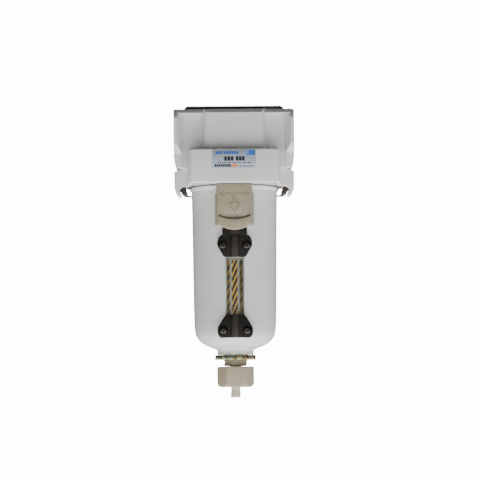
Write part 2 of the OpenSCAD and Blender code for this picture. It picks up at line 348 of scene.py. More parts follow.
def make_finishes(colours):
    white = tuple(colours.paint)
    dusk = tuple(c * 0.94 for c in white)
    surface("head_paint", white, dusk, 9, 0.9, 0.012, (0.36, 0.5), coat=0.12)
    surface("bowl_paint", white, tuple(c * 0.965 for c in white), 14, 0.8, 0.006, (0.26, 0.36), coat=0.3)
    tan = tuple(colours.button)
    surface("tan_plastic", tan, tuple(c * 0.86 for c in tan), 4, 0.28, 0.012, (0.42, 0.62))
    knob = tuple(c * 1.24 for c in tan)
    surface("drain_plastic", knob, tuple(c * 0.9 for c in knob), 3, 0.35, 0.01, (0.4, 0.58))
    pale = tuple(colours.nozzle)
    surface("nozzle_plastic", pale, tuple(c * 0.9 for c in pale), 2.5, 0.3, 0.008, (0.4, 0.55))
    surface("black_plastic", (0.007, 0.006, 0.005), (0.013, 0.011, 0.009), 3, 0.25, 0.018, (0.45, 0.65),
            specular=0.2)
    make_clamp_plastic()
    surface("cap_plastic", (0.055, 0.055, 0.055), (0.075, 0.074, 0.073), 5, 0.35, 0.02, (0.45, 0.65),
            specular=0.3)
    surface("inner_plastic", (0.035, 0.035, 0.036), (0.05, 0.05, 0.05), 4, 0.3, 0.01, (0.38, 0.55))
    # dark pad colour: painted shade for the gaps under the side lobes
    surface("pad_painted_shade", (0.018, 0.011, 0.007), (0.035, 0.022, 0.014), 1.6, 0.3, 0.03, (0.55, 0.8))
    surface("seal_rubber", (0.012, 0.012, 0.012), (0.024, 0.024, 0.024), 2, 0.2, 0.008, (0.5, 0.75))
    surface("sintered", (0.80, 0.78, 0.72), (0.66, 0.64, 0.58), 0.7, 0.35, 0.12, (0.75, 0.95),
            grain_detail=6.0)
    surface("rod_steel", (0.52, 0.50, 0.42), (0.42, 0.41, 0.36), 3, 0.15, 0.004, (0.25, 0.42), metallic=1.0)
    surface("wire_steel", (0.55, 0.55, 0.56), (0.42, 0.42, 0.43), 1.0, 0.12, 0.004, (0.2, 0.35), metallic=1.0)
    surface("screw_steel", (0.04, 0.037, 0.034), (0.08, 0.075, 0.07), 0.8, 0.12, 0.003, (0.16, 0.3),
            metallic=1.0)
    surface("float_foam", (0.72, 0.66, 0.50), (0.62, 0.56, 0.42), 2.2, 0.3, 0.05, (0.7, 0.9))
    make_zinc()
    make_glass()
    make_stripes()
    make_label_finishes()


def make_clamp_plastic():
    """Black plastic with a painted highlight: paler along the rib in the middle, where the rounded rib faces
    the light.
    """
    finish = surface("clamp_plastic", (0.006, 0.005, 0.004), (0.012, 0.010, 0.008), 3, 0.25, 0.018,
                     (0.45, 0.65), specular=0.2)
    tree = finish.node_tree
    where = place_node(tree, "ShaderNodeTexCoord").outputs["Object"]
    across = place_node(tree, "ShaderNodeSeparateXYZ", {"Vector": where}).outputs["X"]
    wide = place_node(tree, "ShaderNodeMath", {0: across}, operation="ABSOLUTE").outputs[0]
    # painted highlight: the base colour turns to paler speckled tones along the middle rib
    rib_highlight = spread(tree, wide, 1.0, 0.0, 1.2 * MM, 2.4 * MM)
    highlight_specks = tint(tree, noise(tree, 0.7, 4.0, 0.7).outputs["Fac"], [
        (0.38, (0.012, 0.010, 0.008)), (0.62, (0.045, 0.04, 0.036))])
    shader = tree.nodes["Principled BSDF"]
    plain = shader.inputs["Base Color"].links[0].from_socket
    mixed = place_node(tree, "ShaderNodeMix", {"Factor": rib_highlight, 6: plain, 7: highlight_specks}, data_type="RGBA")
    tree.links.new(mixed.outputs[2], shader.inputs["Base Color"])


def make_zinc():
    """Yellow passivated zinc: thin film colours that drift from patch to patch."""
    _, tree, shader = start_finish("zinc_film")
    film = noise(tree, 2.2, 3.0, 0.6)
    colour = tint(tree, film.outputs["Fac"], [
        (0.30, (0.07, 0.03, 0.045)), (0.40, (0.26, 0.18, 0.08)), (0.47, (0.42, 0.38, 0.20)),
        (0.54, (0.17, 0.30, 0.20)), (0.60, (0.32, 0.36, 0.33)), (0.70, (0.18, 0.09, 0.16))])
    tree.links.new(colour, shader.inputs["Base Color"])
    fine = noise(tree, 0.3, 3.0)
    tree.links.new(spread(tree, fine.outputs["Fac"], 0.18, 0.36), shader.inputs["Roughness"])
    bump = place_node(tree, "ShaderNodeBump", {
        "Strength": 1.0, "Distance": 0.006 * MM, "Height": fine.outputs["Fac"]})
    tree.links.new(bump.outputs[0], shader.inputs["Normal"])
    shader.inputs["Metallic"].default_value = 1.0


def make_glass():
    _, tree, shader = start_finish("gauge_glass")
    haze = noise(tree, 3.0, 3.0)
    tree.links.new(spread(tree, haze.outputs["Fac"], 0.01, 0.06), shader.inputs["Roughness"])
    tree.links.new(tint(tree, haze.outputs["Fac"], [(0.3, (0.97, 0.98, 0.96)), (0.7, (0.94, 0.95, 0.93))]),
                   shader.inputs["Base Color"])
    shader.inputs["Transmission Weight"].default_value = 1.0
    shader.inputs["IOR"].default_value = 1.49


BAND_STEP = 5.4
BAND_SLOPE = 2.3


def make_stripes():
    """Slanting black and yellow bands behind the gauge, dimmed towards its edges, with painted highlights
    where the glass's facets meet and a painted highlight line just under the upper clamp.
    """
    _, tree, shader = start_finish("gauge_stripes")
    where = place_node(tree, "ShaderNodeTexCoord").outputs["Object"]
    axes = place_node(tree, "ShaderNodeSeparateXYZ", {"Vector": where})
    slant = place_node(tree, "ShaderNodeMath", {0: axes.outputs["X"], 1: -BAND_SLOPE}, operation="MULTIPLY")
    rise = place_node(tree, "ShaderNodeMath", {0: slant.outputs[0], 1: axes.outputs["Z"]}, operation="ADD")
    wear = noise(tree, 0.8, 2.0)
    shift = place_node(tree, "ShaderNodeMath", {0: wear.outputs["Fac"], 1: 0.0003}, operation="MULTIPLY")
    ragged = place_node(tree, "ShaderNodeMath", {0: rise.outputs[0], 1: shift.outputs[0]}, operation="ADD")
    turns = place_node(tree, "ShaderNodeMath", {0: ragged.outputs[0], 1: 1 / (BAND_STEP * MM)},
                       operation="MULTIPLY")
    phase = place_node(tree, "ShaderNodeMath", {0: turns.outputs[0]}, operation="FRACT")
    bands = tint(tree, phase.outputs[0], [
        (0.0, (0.02, 0.015, 0.014)), (0.50, (0.022, 0.016, 0.014)), (0.55, (0.80, 0.47, 0.05)),
        (0.93, (0.84, 0.52, 0.07)), (0.98, (0.02, 0.015, 0.014))])
    across = spread(tree, axes.outputs["X"], 0.0, 1.0, -5 * MM, 5 * MM)
    grey, pale, brown, dark = (0.24, 0.22, 0.18), (0.46, 0.44, 0.38), (0.12, 0.095, 0.06), (0.02, 0.014, 0.01)
    # the strips beside the bands, by how far they lie from the middle in millimetres; the pale strips are
    # painted highlights of the glass's facet edges
    def strips(colours):
        return tint(tree, across, [((x + 5) / 10, colour) for x, colour in colours])

    strips_and_facet_highlights = strips([(-4.6, grey), (-3.8, grey), (-3.6, dark), (-2.5, dark), (-2.3, pale), (-1.7, pale),
                   (-1.6, grey), (1.4, grey), (1.5, pale), (1.85, pale), (2.1, brown), (3.6, brown),
                   (3.8, grey)])
    full, none, some = (1.0,) * 3, (0.0,) * 3, (0.45,) * 3
    cover = strips([(-3.8, full), (-3.6, some), (-2.5, some), (-2.3, full), (-1.75, full), (-1.6, none),
                    (1.3, none), (1.5, full), (1.9, full), (2.1, (0.8,) * 3), (3.6, (0.8,) * 3), (3.8, full)])
    shade = place_node(tree, "ShaderNodeMix", {"Factor": cover, 6: bands, 7: strips_and_facet_highlights}, data_type="RGBA")
    top = spread(tree, axes.outputs["Z"], 0.0, 1.0, 79.1 * MM, 79.5 * MM)
    clear = place_node(tree, "ShaderNodeMix", {
        "Factor": top, 6: shade.outputs[2], 7: (0.33, 0.32, 0.29, 1)}, data_type="RGBA")
    # painted highlight: a bright line along the lower edge of the upper clamp
    clamp_edge_highlight = spread(tree, axes.outputs["Z"], 0.0, 1.0, 80.7 * MM, 80.8 * MM)
    final = place_node(tree, "ShaderNodeMix", {
        "Factor": clamp_edge_highlight, 6: clear.outputs[2], 7: (0.8, 0.8, 0.78, 1)}, data_type="RGBA")
    tree.links.new(final.outputs[2], shader.inputs["Base Color"])
    tree.links.new(spread(tree, wear.outputs["Fac"], 0.4, 0.6), shader.inputs["Roughness"])
    shader.inputs["Specular IOR Level"].default_value = 0.2


def make_label_finishes():
    surface("label_film", (0.36, 0.42, 0.50), (0.42, 0.48, 0.56), 1.8, 0.12, 0.004, (0.28, 0.42),
            metallic=0.35, stretch=(0.2, 1, 1))
    surface("ink_dark", (0.012, 0.012, 0.016), (0.025, 0.025, 0.03), 0.8, 0.15, 0.004, (0.35, 0.5),
            specular=0.15)
    surface("ink_blue", (0.015, 0.07, 0.36), (0.025, 0.10, 0.42), 0.8, 0.15, 0.004, (0.35, 0.5),
            specular=0.15)
    surface("ink_orange", (0.80, 0.12, 0.01), (0.85, 0.17, 0.02), 0.8, 0.15, 0.004, (0.35, 0.5),
            specular=0.15)
    _, tree, shader = start_finish("ink_blue_fade")
    where = place_node(tree, "ShaderNodeTexCoord").outputs["Object"]
    axes = place_node(tree, "ShaderNodeSeparateXYZ", {"Vector": where})
    along = spread(tree, axes.outputs["X"], 0.0, 1.0, 5.4 * MM, 10.6 * MM)
    dots = noise(tree, 0.35, 1.0)
    mixed = place_node(tree, "ShaderNodeMath", {0: dots.outputs["Fac"], 1: 0.35}, operation="MULTIPLY")
    total = place_node(tree, "ShaderNodeMath", {0: along, 1: mixed.outputs[0]}, operation="ADD")
    tree.links.new(tint(tree, total.outputs[0], [
        (0.15, (0.36, 0.44, 0.56)), (0.55, (0.10, 0.25, 0.55)), (0.9, (0.02, 0.12, 0.42))]),
        shader.inputs["Base Color"])
    shader.inputs["Roughness"].default_value = 0.4


# ---------------------------------------------------------------- sizes

class FilterSizes(bpy.types.PropertyGroup):
    skirt_half: bpy.props.FloatProperty(
        name="Skirt half width", description="Half of the width of the head's skirt, in mm", default=26.4)
    skirt_depth: bpy.props.FloatProperty(
        name="Skirt half depth", description="Distance from the axis to the front of the skirt, in mm",
        default=31.0)
    edge_round: bpy.props.FloatProperty(
        name="Casting edges", description="Radius of the casting's outer edges, in mm", default=1.0)
    port_z: bpy.props.FloatProperty(
        name="Port height", description="Height of the port axis, in mm", default=150.4)
    port_r: bpy.props.FloatProperty(
        name="Port radius", description="Inner radius of the port thread, in mm", default=9.3)
    thread_pitch: bpy.props.FloatProperty(
        name="Neck thread pitch", description="Pitch of the drain neck's thread, in mm", default=1.25)


class FilterColours(bpy.types.PropertyGroup):
    paint: bpy.props.FloatVectorProperty(
        name="Paint", description="Paint of the head and the bowl", subtype="COLOR",
        default=(0.66, 0.67, 0.66))
    button: bpy.props.FloatVectorProperty(
        name="Button", description="Plastic of the lock button and the knob", subtype="COLOR",
        default=(0.335, 0.29, 0.20))
    nozzle: bpy.props.FloatVectorProperty(
        name="Nozzle", description="Plastic of the drain nozzle", subtype="COLOR", default=(0.62, 0.57, 0.47))


# ---------------------------------------------------------------- head

def flange_block():
    """The plate round one port, on the right."""
    plan = prism("flange_plan", softened_outline(
        [(35, 24), (33.2, 24), (30.4, 19.6), (29.4, 18), (25, 17.1), (25, -17.1), (29.4, -18), (30.4, -19.6),
         (33.2, -24), (35, -24)], 0.4), "Z", 132, 170)
    side = prism("flange_side", softened_outline(
        [(-24, 147), (-18.8, 141.8), (-18.8, 133.6), (18.8, 133.6), (18.8, 141.8), (24, 147), (24, 162.1),
         (18.5, 167.6), (-18.5, 167.6), (-24, 162.1)], 0.6), "X", 25, 36)
    front = prism("flange_front", softened_outline(
        [(20, 133.6), (33.9, 133.6), (34.1, 134.6), (34.7, 137.4), (35, 140.4), (35, 167.6), (20, 167.6)],
        0.4), "Y", -25, 25)
    return soften(common(common(plan, side), front), 0.35, 2, 40)


def lobe_block():
    """The lobe under one port, with the oval mouth for its pad."""
    lobe = prism("lobe", softened_outline(
        [(24, 123.5), (28, 123.2), (30.2, 122.8), (31.6, 121.9), (32, 120.9), (31.6, 119.7), (30.8, 118.7),
         (31.6, 118.1), (32.6, 118.4), (34, 119.6), (34.8, 121.4), (35, 123.4), (35, 132.2), (31, 132.2),
         (31, 134), (24, 134)], 0.7), "Y", -11.5, 11.5)
    return soften(lobe, 0.4, 2, 50)


def port_cutter(side):
    """Threaded port with a lead-in, cut from the face inwards."""
    pitch, depth, face = 1.814, 15.0, 35.0
    points = [(0, face + 1), (10.5, face + 1), (10.5, face - 0.1), (9.35, face - 1.1)]
    place = face - 1.3
    while place > face - depth + 1.2:
        points += [(9.3, place), (10.25, place - pitch * 0.42), (10.25, place - pitch * 0.5),
                   (9.3, place - pitch * 0.92)]
        place -= pitch
    points += [(9.3, face - depth), (0, face - depth)]
    tool = lathe("port_cutter", points, 72)
    tool.rotation_euler = (0, math.radians(90), 0)
    tool.location = (0, 0, 150.4 * MM)
    settle(tool)
    if side < 0:
        tool.scale = (-1, 1, 1)
        settle(tool)
        edit(tool)
        bpy.ops.mesh.normals_make_consistent(inside=False)
        leave_edit()
    return tool


class FILTER_OT_head(bpy.types.Operator):
    """Casts the head with its flanges, skirt, ports and bayonet ring"""
    bl_idname = "filter.head"
    bl_label = "Head casting"

    def execute(self, context):
        sizes = context.scene.filter_sizes
        edge = sizes.edge_round
        skirt = soften(prism("head_casting", rounded_outline(sizes.skirt_half, sizes.skirt_depth, 4.0), "Z",
                             123.4, 143.3), edge, 4, 50, clamp=False)
        collar = soften(bar_z("collar", 30.4, 123.4, 141.5), 0.8, 3, 50, clamp=False)
        bulge_plan = prism("bulge", softened_outline(
            [(-16, -24), (16, -24), (17.2, -22.6), (19.8, -12), (19.8, 12), (17.2, 22.6), (16, 24), (-16, 24),
             (-17.2, 22.6), (-19.8, 12), (-19.8, -12), (-17.2, -22.6)], 0.8), "Z", 140, 168)
        bulge_side = prism("bulge_side", softened_outline(
            [(-25, 139), (25, 139), (25, 164), (21.4, 167.6), (-21.4, 167.6), (-25, 164)], 0.8), "X", -22, 22)
        bulge = common(bulge_plan, bulge_side)
        spine = soften(prism("spine", softened_outline(
            [(-17.5, 133.1), (17.5, 133.1), (17.5, 166), (15.9, 167.6), (-15.9, 167.6), (-17.5, 166)], 0.8),
            "X", -31.5, 31.5), 0.3, 2, 60)
        slab = prism("top_slab", softened_outline(
            [(-21.5, 164.8), (21.5, 164.8), (21.5, 165.2), (19, 167.6), (-19, 167.6), (-21.5, 165.2)], 0.35),
            "X", -33, 33)
        right, right_lobe = flange_block(), lobe_block()
        parts = [collar, bulge, spine, slab, copy_turned(right, "left", flip_x=True),
                 copy_turned(right_lobe, "left_lobe", flip_x=True), right, right_lobe]
        head = skirt
        for part in parts:
            add(head, part)
        cut(head, bar_z("rim_bore", 25.65, 130, 137))
        cut(head, bar_z("lug_groove", 28, 126.5, 130.6))
        cut(head, bar_z("ledge_bore", 26.9, 115, 127))
        for i in range(4):
            gate = common(bar_z("gate", 28, 122, 127.0), prism(
                "wedge", [(0, 0), (40, -9.6), (40, 9.6)], "Z", 122, 127.2))
            cut(head, copy_turned(gate, "gate_turned", 90 * i))
            bpy.data.objects.remove(gate)
        corners = prism("corner_hollows", rounded_outline(24.8, 29.4, 2.5), "Z", 122, 131)
        cut(corners, bar_z("bayonet_ring", 29.7, 121, 132))
        cut(corners, block("front_wall", (-11, -32, 120), (11, 32, 133)))
        cut(head, corners)
        cut(head, lathe("vane_chamber", [(11.3, 136.5), (20.5, 136.5), (20.5, 141.5), (11.3, 141.5)]))
        cut(head, bar_z("centre_bore", 7.5, 130, 150.4))
        cut(head, bar_x("outlet_way", 7.5, 0, 21, 150.4))
        cut(head, bar_x("inlet_way", 7.5, -21, -13, 150.4))
        cut(head, block("inlet_drop", (-20, -7, 141), (-13, 7, 150.4)))
        for side in (1, -1):
            cut(head, port_cutter(side))
        cut(head, bar_z("rod_hole", 2.05, 150.4, 162, steps=32))
        cut(head, block("label_seat", (-12.6, -33, 132.1), (12.6, -30.75, 142.6)))
        # lock marks above the button: two dots and three fine lines
        for x in (-1.75, 0.55):
            cut(head, bar_y("lock_dot", 0.5, x, 130.0, -32, -30.6, 16))
        for x in (-2.2, -0.6, 0.8):
            cut(head, block("lock_line", (x - 0.16, -32, 124.3), (x + 0.16, -30.75, 128.4)))
        show(head, "head", "head_paint", ("head_body",))
        return {"FINISHED"}


class FILTER_OT_cap(bpy.types.Operator):
    """Moulds the dark cover plate on top of the head"""
    bl_idname = "filter.cap"
    bl_label = "Cover plate"

    def execute(self, context):
        cap = prism("cover_plate", softened_outline(
            [(-28.8, 167.65), (28.8, 167.65), (28.8, 168.2), (27.4, 169.5), (-27.4, 169.5), (-28.8, 168.2)],
            0.6), "Y", -18.4, 18.4)
        soften(cap, 0.6, 3, 50, clamp=False)
        recess = soften(block("cover_recess", (-24, -14.5, 169.2), (24, 14.5, 171)), 0.25, 2)
        cut(cap, recess)
        show(cap, "head", "cap_plastic", ("top_cap",))
        return {"FINISHED"}


class FILTER_OT_label(bpy.types.Operator):
    """Lays the metallic name label with plain printed bars"""
    bl_idname = "filter.label"
    bl_label = "Label"

    def execute(self, context):
        plate = soften(prism("label_plate", [
            (-12.45, 132.2), (12.45, 132.2), (12.45, 142.5), (-12.45, 142.5)], "Y", -31.03, -30.8), 0.06, 2)
        show(plate, "head", "label_film", ("name_label",))

        def print_bars(name, finish, bars):
            made = [block(name, (x0, -31.05, z0), (x1, -31.02, z1)) for x0, x1, z0, z1 in bars]
            show(join(made[0], made[1:]), "head", finish)

        heading = [(-10.6 + i * 1.45, -9.45 + i * 1.45, 139.95, 141.65) for i in range(3)]
        heading += [(-5.7 + i * 1.4, -4.6 + i * 1.4, 139.95, 141.65) for i in range(6)]
        print_bars("label_heading", "ink_blue", heading)
        model = [(-5.6 + i * 1.85, -4.05 + i * 1.85, 136.1, 138.6) for i in range(3)]
        model += [(1.1 + i * 1.75, 2.6 + i * 1.75, 136.1, 138.6) for i in range(3)]
        print_bars("label_block", "ink_dark", model)
        lines = [(-9.5 + 2.85 * i, -7.3 + 2.85 * i, 134.7, 135.2) for i in range(7)]
        lines += [(3.0 + 2.15 * i, 4.75 + 2.15 * i, 132.7, 133.3) for i in range(4)]
        lines += [(-11.2 + i * 1.2, -10.2 + i * 1.2, 132.6, 134.15) for i in range(8)]
        print_bars("label_lines", "ink_dark", lines)
        accent = [(-1.55 + i * 1.25, -0.5 + i * 1.25, 132.6, 134.15) for i in range(3)]
        print_bars("label_accent", "ink_orange", accent)
        fade = prism("label_fade", [(5.2, 139.3), (12.0, 139.3), (12.0, 142.3), (7.4, 142.3)],
                     "Y", -31.05, -31.02)
        show(fade, "head", "ink_blue_fade")
        return {"FINISHED"}


class FILTER_OT_pads(bpy.types.Operator):
    """Moulds the dark pads under the side lobes; their dark colour is painted shade, put where the gaps under
    the lobes lie in shadow
    """
    bl_idname = "filter.pads"
    bl_label = "Side pads"

    def execute(self, context):
        pad = prism("side_pad_right", softened_outline(
            [(28.1, 122.2), (29.6, 122.4), (30.8, 121.9), (31.4, 120.9), (30.9, 119.9), (29.9, 119.1),
             (28.4, 118.6), (27.3, 118.6), (27.3, 119.3), (27.8, 120.4)], 0.6), "Y", -10.6, 11.4)
        soften(pad, 0.3, 2, 50)
        lip = common(lathe("lip", [(27.2, 118.6), (29.5, 118.6), (29.5, 119.4), (27.2, 119.4)], 128),
                     block("lip_part", (20, 6, 118), (30, 11.4, 121)))
        add(pad, lip)
        cut(pad, bar_z("bowl_room", 27.2, 116, 124))
        twin = copy_turned(pad, "side_pad_left", flip_x=True)
        # the pads' dark colour paints the shade in the gaps under the lobes
        show(pad, "head", "pad_painted_shade", ("side_pads",))
        show(twin, "head", "pad_painted_shade", ("side_pads",))
        return {"FINISHED"}


# ---------------------------------------------------------------- bowl

BOWL_OUTSIDE = [
    (10.3, 24.95), (10.65, 25.3), (10.65, 27.2), (11.1, 27.9), (12.2, 28.4), (14.2, 29.1), (15.8, 29.7),
    (17.2, 30.3), (18.3, 30.9), (19.2, 31.5), (20.0, 32.1), (20.7, 32.7), (21.25, 33.3), (21.7, 33.9),
    (22.15, 34.5), (22.5, 35.1), (22.85, 35.7), (23.1, 36.3), (23.4, 37.3), (23.65, 38.6), (23.85, 40),
    (24.0, 42), (24.1, 45), (24.3, 52), (24.45, 65), (24.6, 78), (24.9, 106), (25.15, 117), (25.2, 120.5),
    (26.0, 121.4), (26.2, 121.7), (26.3, 122.1), (26.3, 122.5), (26.15, 122.75), (24.4, 123.0), (24.4, 132),
    (22.95, 132.1), (22.95, 134.6), (24.4, 134.7),
    (24.4, 136.2), (24.1, 136.5)]
BOWL_INSIDE = [
    (21.1, 136.5), (20.8, 136.2), (20.8, 124.2), (22.3, 122), (22.3, 41), (21.9, 39), (21.2, 37.4),
    (20.2, 36), (18.8, 34.7), (17, 33.4), (14.5, 32), (7.1, 32), (7.1, 24.95)]


def upright_slot(name, half, low, high, front, back):
    """A slot with round ends, cut from the front."""
    outline = arc(0, high - half, half, 0, 180, 16) + arc(0, low + half, half, 180, 360, 16)
    return prism(name, outline, "Y", front, back)


class FILTER_OT_bowl(bpy.types.Operator):
    """Spins the painted bowl and cuts its gauge pocket, lugs and button rail"""
    bl_idname = "filter.bowl"
    bl_label = "Bowl"

    def execute(self, context):
        bowl = lathe("bowl_casting", BOWL_OUTSIDE + BOWL_INSIDE, 160)
        boss = common(soften(block("gauge_boss", (-9.4, -23, 34.5), (9.4, -19.4, 94)), 0.6, 3),
                      bar_z("boss_limit", 23.2, 34, 95, steps=160))
        add(bowl, boss)
        for i in range(4):
            lug = common(lathe("lug", [(24, 127.2), (26.4, 127.2), (26.6, 127.5), (26.6, 129.7), (26.4, 130),
                                       (24, 130)], 160),
                         prism("lug_wedge", [(0, 0), (40, -8.5), (40, 8.5)], "Z", 127, 131))
            add(bowl, copy_turned(lug, "lug_turned", 45 + 90 * i))
            bpy.data.objects.remove(lug)
        add(bowl, block("rail_web", (-4.6, -26.3, 102), (4.6, -23.6, 112)))
        add(bowl, soften(block("rail_wings", (-6.2, -27.4, 102), (6.2, -26.2, 112)), 0.3, 2))
        cut(bowl, upright_slot("gauge_pocket", 5.3, 38.5, 91.5, -30, -21))
        flare = upright_slot("gauge_flare", 6.1, 37.7, 92.3, -30, -23.6)
        cut(bowl, soften(flare, 0.7, 4, 60, clamp=False))
        for z in (42, 88):
            cut(bowl, bar_y("gauge_way", 1.4, 0, z, -22, -18, 24))
        for x in (-6.8, 6.8):
            for z in (39, 88):
                cut(bowl, bar_y("screw_hole", 1.5, x, z, -30, -20.2, 24))
        show(bowl, "bowl", "bowl_paint", ("bowl_shell",), smooth=28)
        return {"FINISHED"}


class FILTER_OT_gauge(bpy.types.Operator):
    """Moulds the clear sight glass over its striped backing"""
    bl_idname = "filter.gauge"
    bl_label = "Sight glass"

    def execute(self, context):
        glass = prism("sight_glass_bar", softened_outline(
            [(-4.6, -21.7), (4.6, -21.7), (4.6, -24.9), (2.2, -26), (-2.2, -26), (-4.6, -24.9)], 0.25),
            "Z", 41.4, 88.6)
        soften(glass, 0.2, 2, 60)
        show(glass, "bowl", "gauge_glass", ("sight_glass",), smooth=3)
        dress("sight_stripes", "gauge_stripes")
        dress("sight_seals", "seal_rubber")
        return {"FINISHED"}


def clamp_cutouts(clamp, screw_z, bowl_r):
    cut(clamp, bar_z("bowl_face", bowl_r, 20, 110, steps=160))
    cut(clamp, prism("glass_room", [
        (-4.72, -21.3), (4.72, -21.3), (4.72, -24.9), (2.32, -26.12), (-2.32, -26.12), (-4.72, -24.9)],
        "Z", 30, 100))
    for x in (-6.8, 6.8):
        cut(clamp, bar_y("screw_way", 1.55, x, screw_z, -40, -20, 24))
        cut(clamp, bar_y("head_seat", 2.5, x, screw_z, -40, -26.1, 32))
    return clamp


def rib(low, high):
    """The rounded rib down the middle of a clamp."""
    bar = common(bar_z("rib", 3.5, low, high, 0, -25, 46),
                 block("rib_part", (-4, -28.5, low - 1), (4, -26.4, high + 1)))
    return soften(bar, 0.25, 2, 50)


class FILTER_OT_clamps(bpy.types.Operator):
    """Moulds the two black clamps that hold the sight glass"""
    bl_idname = "filter.clamps"
    bl_label = "Gauge clamps"

    def execute(self, context):
        upper = prism("clamp_upper", softened_outline(
            [(-6.2, 81), (6.2, 81), (9.9, 87.6), (10.1, 88.8), (9.7, 91.4), (8.2, 93.6), (-8.2, 93.6),
             (-9.7, 91.4), (-10.1, 88.8), (-9.9, 87.6)], 1.4), "Y", -27, -22)
        clamp_cutouts(soften(upper, 0.45, 3, 50), 88, 24.95)
        add(upper, rib(81.2, 93.2))
        top = soften(block("clamp_block", (-7.1, -26.95, 93), (7.1, -22.1, 98.1)), 0.4, 3)
        add(upper, clamp_cutouts(top, 88, 24.95))
        show(upper, "bowl", "clamp_plastic", ("upper_clamp",))
        lower = prism("clamp_lower", softened_outline(
            [(-5.4, 48), (5.4, 48), (9.8, 41.2), (10.2, 39.4), (10.1, 36.6), (8.6, 34.8), (-8.6, 34.8),
             (-10.1, 36.6), (-10.2, 39.4), (-9.8, 41.2)], 1.4), "Y", -27, -21)
        clamp_cutouts(soften(lower, 0.45, 3, 50), 39, 24.4)
        add(lower, rib(35, 47.7))
        show(lower, "bowl", "clamp_plastic", ("lower_clamp",))
        return {"FINISHED"}


class FILTER_OT_screws(bpy.types.Operator):
    """Turns the four small cross-head screws of the clamps"""
    bl_idname = "filter.screws"
    bl_label = "Clamp screws"

    def execute(self, context):
        screw = lathe("screw_blank", [
            (0, 27.85), (1.35, 27.85), (1.75, 27.74), (2.08, 27.45), (2.28, 27.05), (2.35, 26.7), (2.3, 26.2),
            (1.45, 26.2), (1.45, 20.6), (1.1, 20.3), (0, 20.3)], 40)
        blades = [block("blade", (-1.5, -0.36, 26.7), (1.5, 0.36, 28.5)),
                  block("blade", (-0.36, -1.5, 26.7), (0.36, 1.5, 28.5))]
        for blade in blades:
            cut(screw, blade)
        screw.rotation_euler = (math.radians(90), 0, 0)
        settle(screw)
        turns = ((-6.8, 39, 12), (6.8, 39, 38), (-6.8, 88, 41), (6.8, 88, 50))
        for i, (x, z, turn) in enumerate(turns):
            twin = screw.copy()
            twin.data = screw.data.copy()
            twin.name = f"clamp_screw_{i + 1}"
            bpy.context.collection.objects.link(twin)
            twin.rotation_euler = (0, math.radians(turn), 0)
            twin.location = Vector((x, 0, z)) * MM
            settle(twin)
            show(twin, "bowl", "screw_steel", ("clamp_screws",))
        bpy.data.objects.remove(screw)
        return {"FINISHED"}


# ---------------------------------------------------------------- lock button

def smile(half, low, rise, steps=12):
    """Points of an arc that is lowest in the middle."""
    return [(half * k / steps, low + rise * (k / steps) ** 2) for k in range(-steps, steps + 1)]


def stroke(start, end, width):
    """A cutter for a line engraved in the button's face."""
    a, b = Vector(start), Vector(end)
    along = (b - a).normalized()
    side = Vector((-along.y, along.x)) * width / 2
    corners = [tuple(corner) for corner in (a - side, b - side, b + side, a + side)]
    return prism("stroke", corners, "Y", -30.5, -29.45)


class FILTER_OT_button(bpy.types.Operator):
    """Moulds the lock button with its lip, finger scoop and engraved arrows"""
    bl_idname = "filter.button"
    bl_label = "Lock button"

    def execute(self, context):
        button = soften(prism("lock_button_cover", [
            (-11.1, -23.5), (-11.1, -26.6), (-9.8, -30), (9.8, -30), (11.1, -26.6), (11.1, -23.5)],
            "Z", 99.4, 117.6), 0.3, 3)
        add(button, soften(prism("button_top", [
            (-10.3, -23.5), (-10.3, -27.4), (-9.6, -30), (9.6, -30), (10.3, -27.4), (10.3, -23.5)],
            "Z", 110, 123.1), 0.3, 3))
        cut(button, bar_z("bowl_face", 25.4, 90, 130, steps=160))
        cut(button, bar_z("ring_room", 26.6, 120.3, 130, steps=160))
        lip = prism("button_lip", smile(9.3, 96.5, 3.1) + smile(9.3, 102.7, 1.9)[::-1], "Y", -31.2, -27.6)
        add(button, soften(lip, 0.5, 4, 50, clamp=False))
        # a scoop over the lip, deepest in the middle, gives the finger room
        deselect()
        bpy.ops.mesh.primitive_uv_sphere_add(segments=96, ring_count=64, radius=13.6 * MM,
                                             location=(0, -42.2 * MM, 101.6 * MM))
        scoop = bpy.context.active_object
        settle(scoop)
        common(scoop, prism("scoop_limit", smile(9.4, 102.7, 1.94) + [(9.4, 116), (-9.4, 116)],
                            "Y", -32, -28))
        cut(button, scoop)
        cut(button, prism("lip_groove", smile(9.25, 102.62, 1.93) + smile(9.25, 103.6, 1.93)[::-1],
                          "Y", -32, -28.5))
        strokes = [((0.85, 118.6), (0.85, 112.3), 0.5), ((0.85, 112.2), (3.3, 112.2), 0.4),
                   ((3.1, 112.2), (0, 106.6), 0.7), ((1.8, 117.6), (6.0, 117.6), 0.75),
                   ((5.6, 118.9), (8.4, 117.5), 0.55), ((5.6, 116.2), (8.4, 117.5), 0.55)]
        for start, end, width in strokes:
            for side in (1, -1):
                cut(button, stroke((start[0] * side, start[1]), (end[0] * side, end[1]), width))
        cut(button, block("rail_web_way", (-4.68, -26.3, 95), (4.68, -20, 116.2)))
        cut(button, block("rail_wing_way", (-6.28, -27.5, 95), (6.28, -26.1, 116.2)))
        cut(button, block("clamp_way", (-7.5, -27.6, 95), (7.5, -20, 102.3)))
        cut(button, block("spring_way", (-2.6, -29, 111), (2.6, -24, 119.6)))
        show(button, "lock_button", "tan_plastic", ("lock_button",))
        spring = coil("button_spring", arc(1.35, 0, 0.3, 0, 324, 9), (0, -27.2), 7.4, 1.36, 5, 112.4, 24)
        show(spring, "bowl", "wire_steel", ("lock_spring",))
        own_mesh(spring)
        return {"FINISHED"}


# ---------------------------------------------------------------- drain

